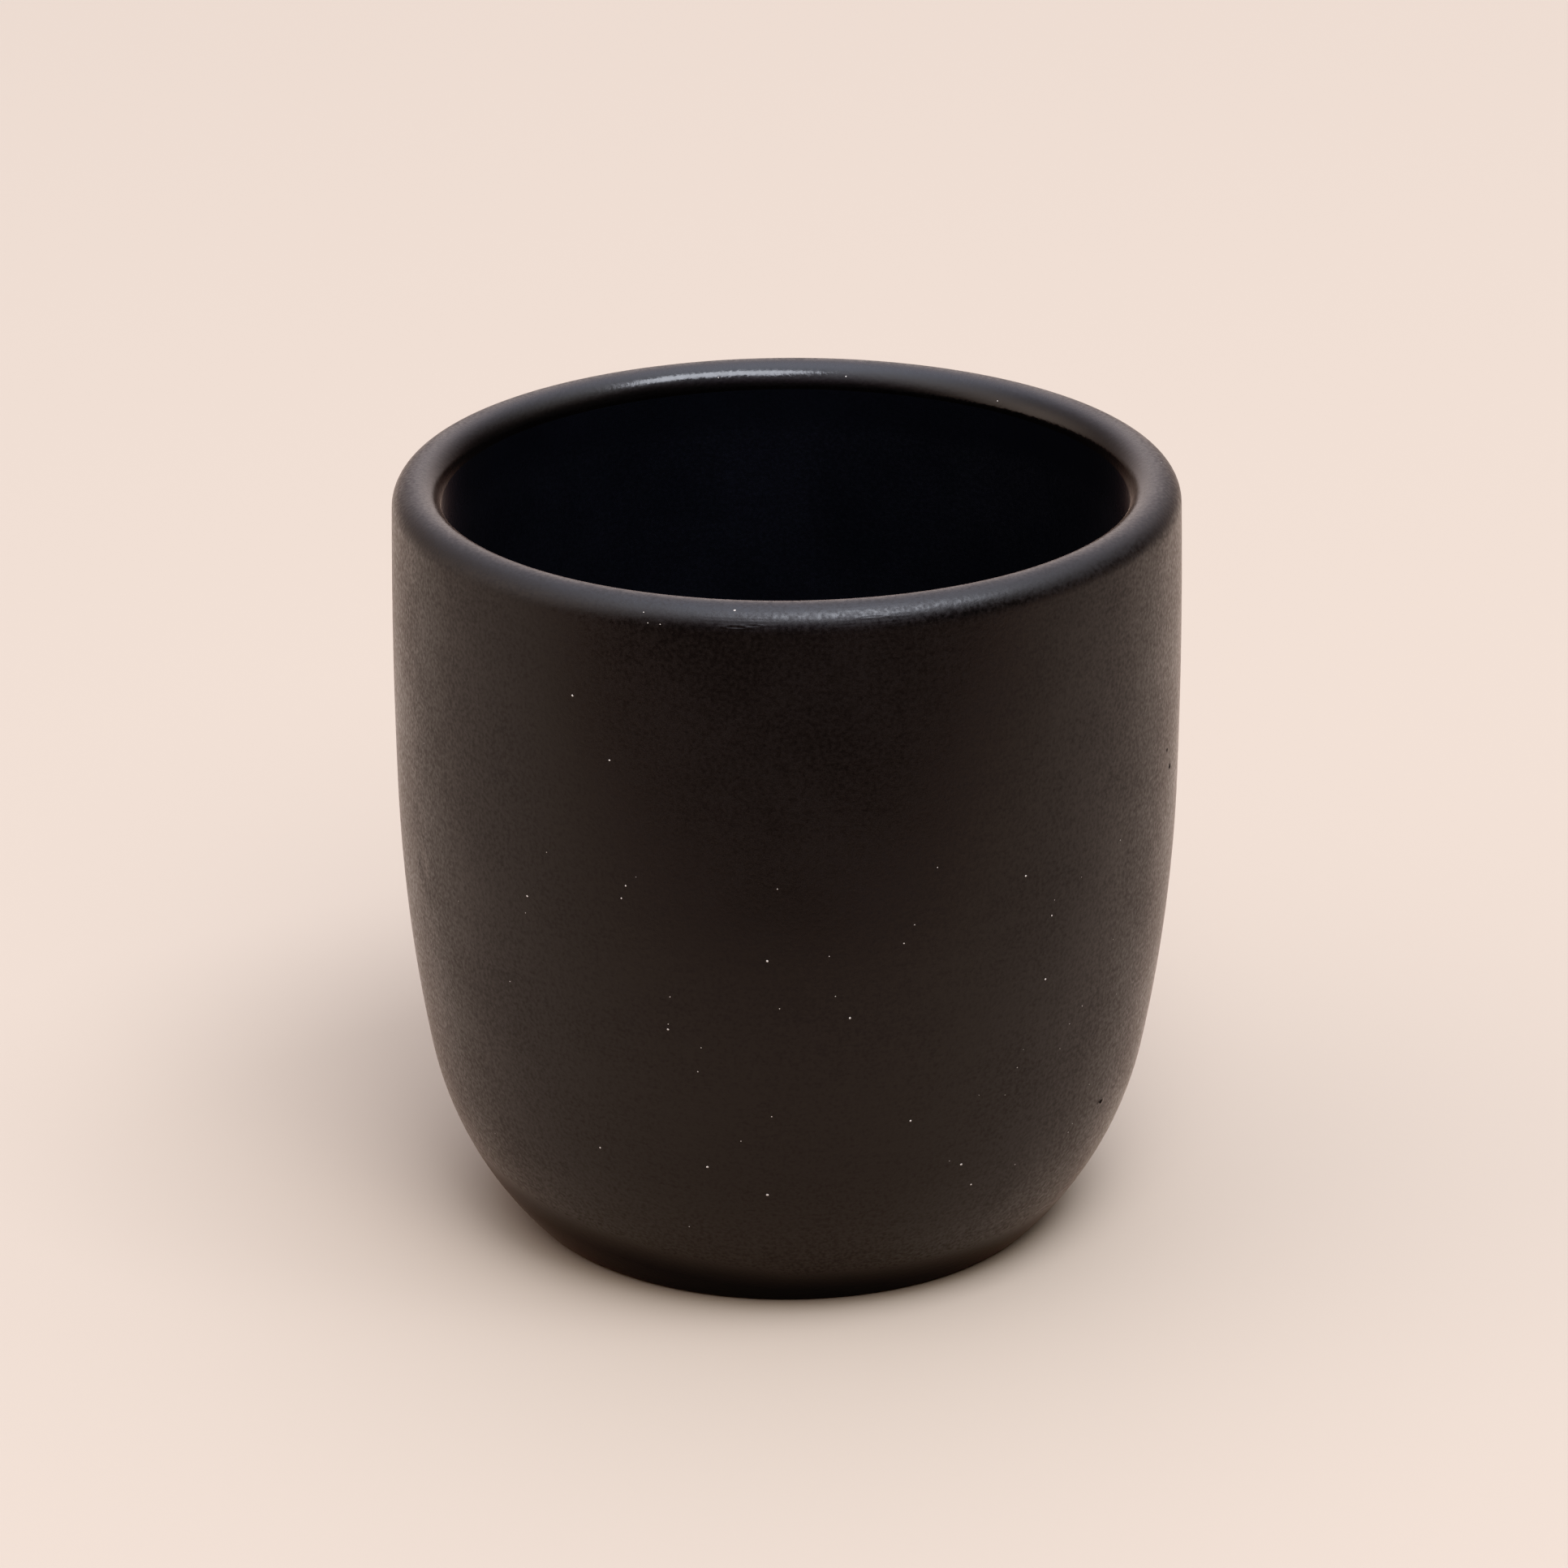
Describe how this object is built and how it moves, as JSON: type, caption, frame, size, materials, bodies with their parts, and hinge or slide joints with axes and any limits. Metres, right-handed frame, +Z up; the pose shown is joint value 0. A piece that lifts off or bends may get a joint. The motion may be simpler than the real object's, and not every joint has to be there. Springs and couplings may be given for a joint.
{
  "type": "ceramic candle jar",
  "caption": "Empty black satin-matt ceramic candle jar: upright round wall, thick full-round rim, rounded bottom on a small foot, open at the top.",
  "frame": {"origin": "centre of the foot, on the surface the jar stands on", "axes": "+Z up along the jar's axis, out of the mouth; the jar is round about it, so +X and +Y are free"},
  "size_m": [0.085, 0.085, 0.084],
  "materials": {
    "bare_stoneware": "matte",
    "satin_glaze": "satin",
    "liner_glaze": "satin"
  },
  "bodies": {
    "root": {"stoneware_body": "bare_stoneware", "outer_glaze": "satin_glaze", "inner_glaze": "liner_glaze", "base_glaze": "satin_glaze"}
  },
  "joints": []
}
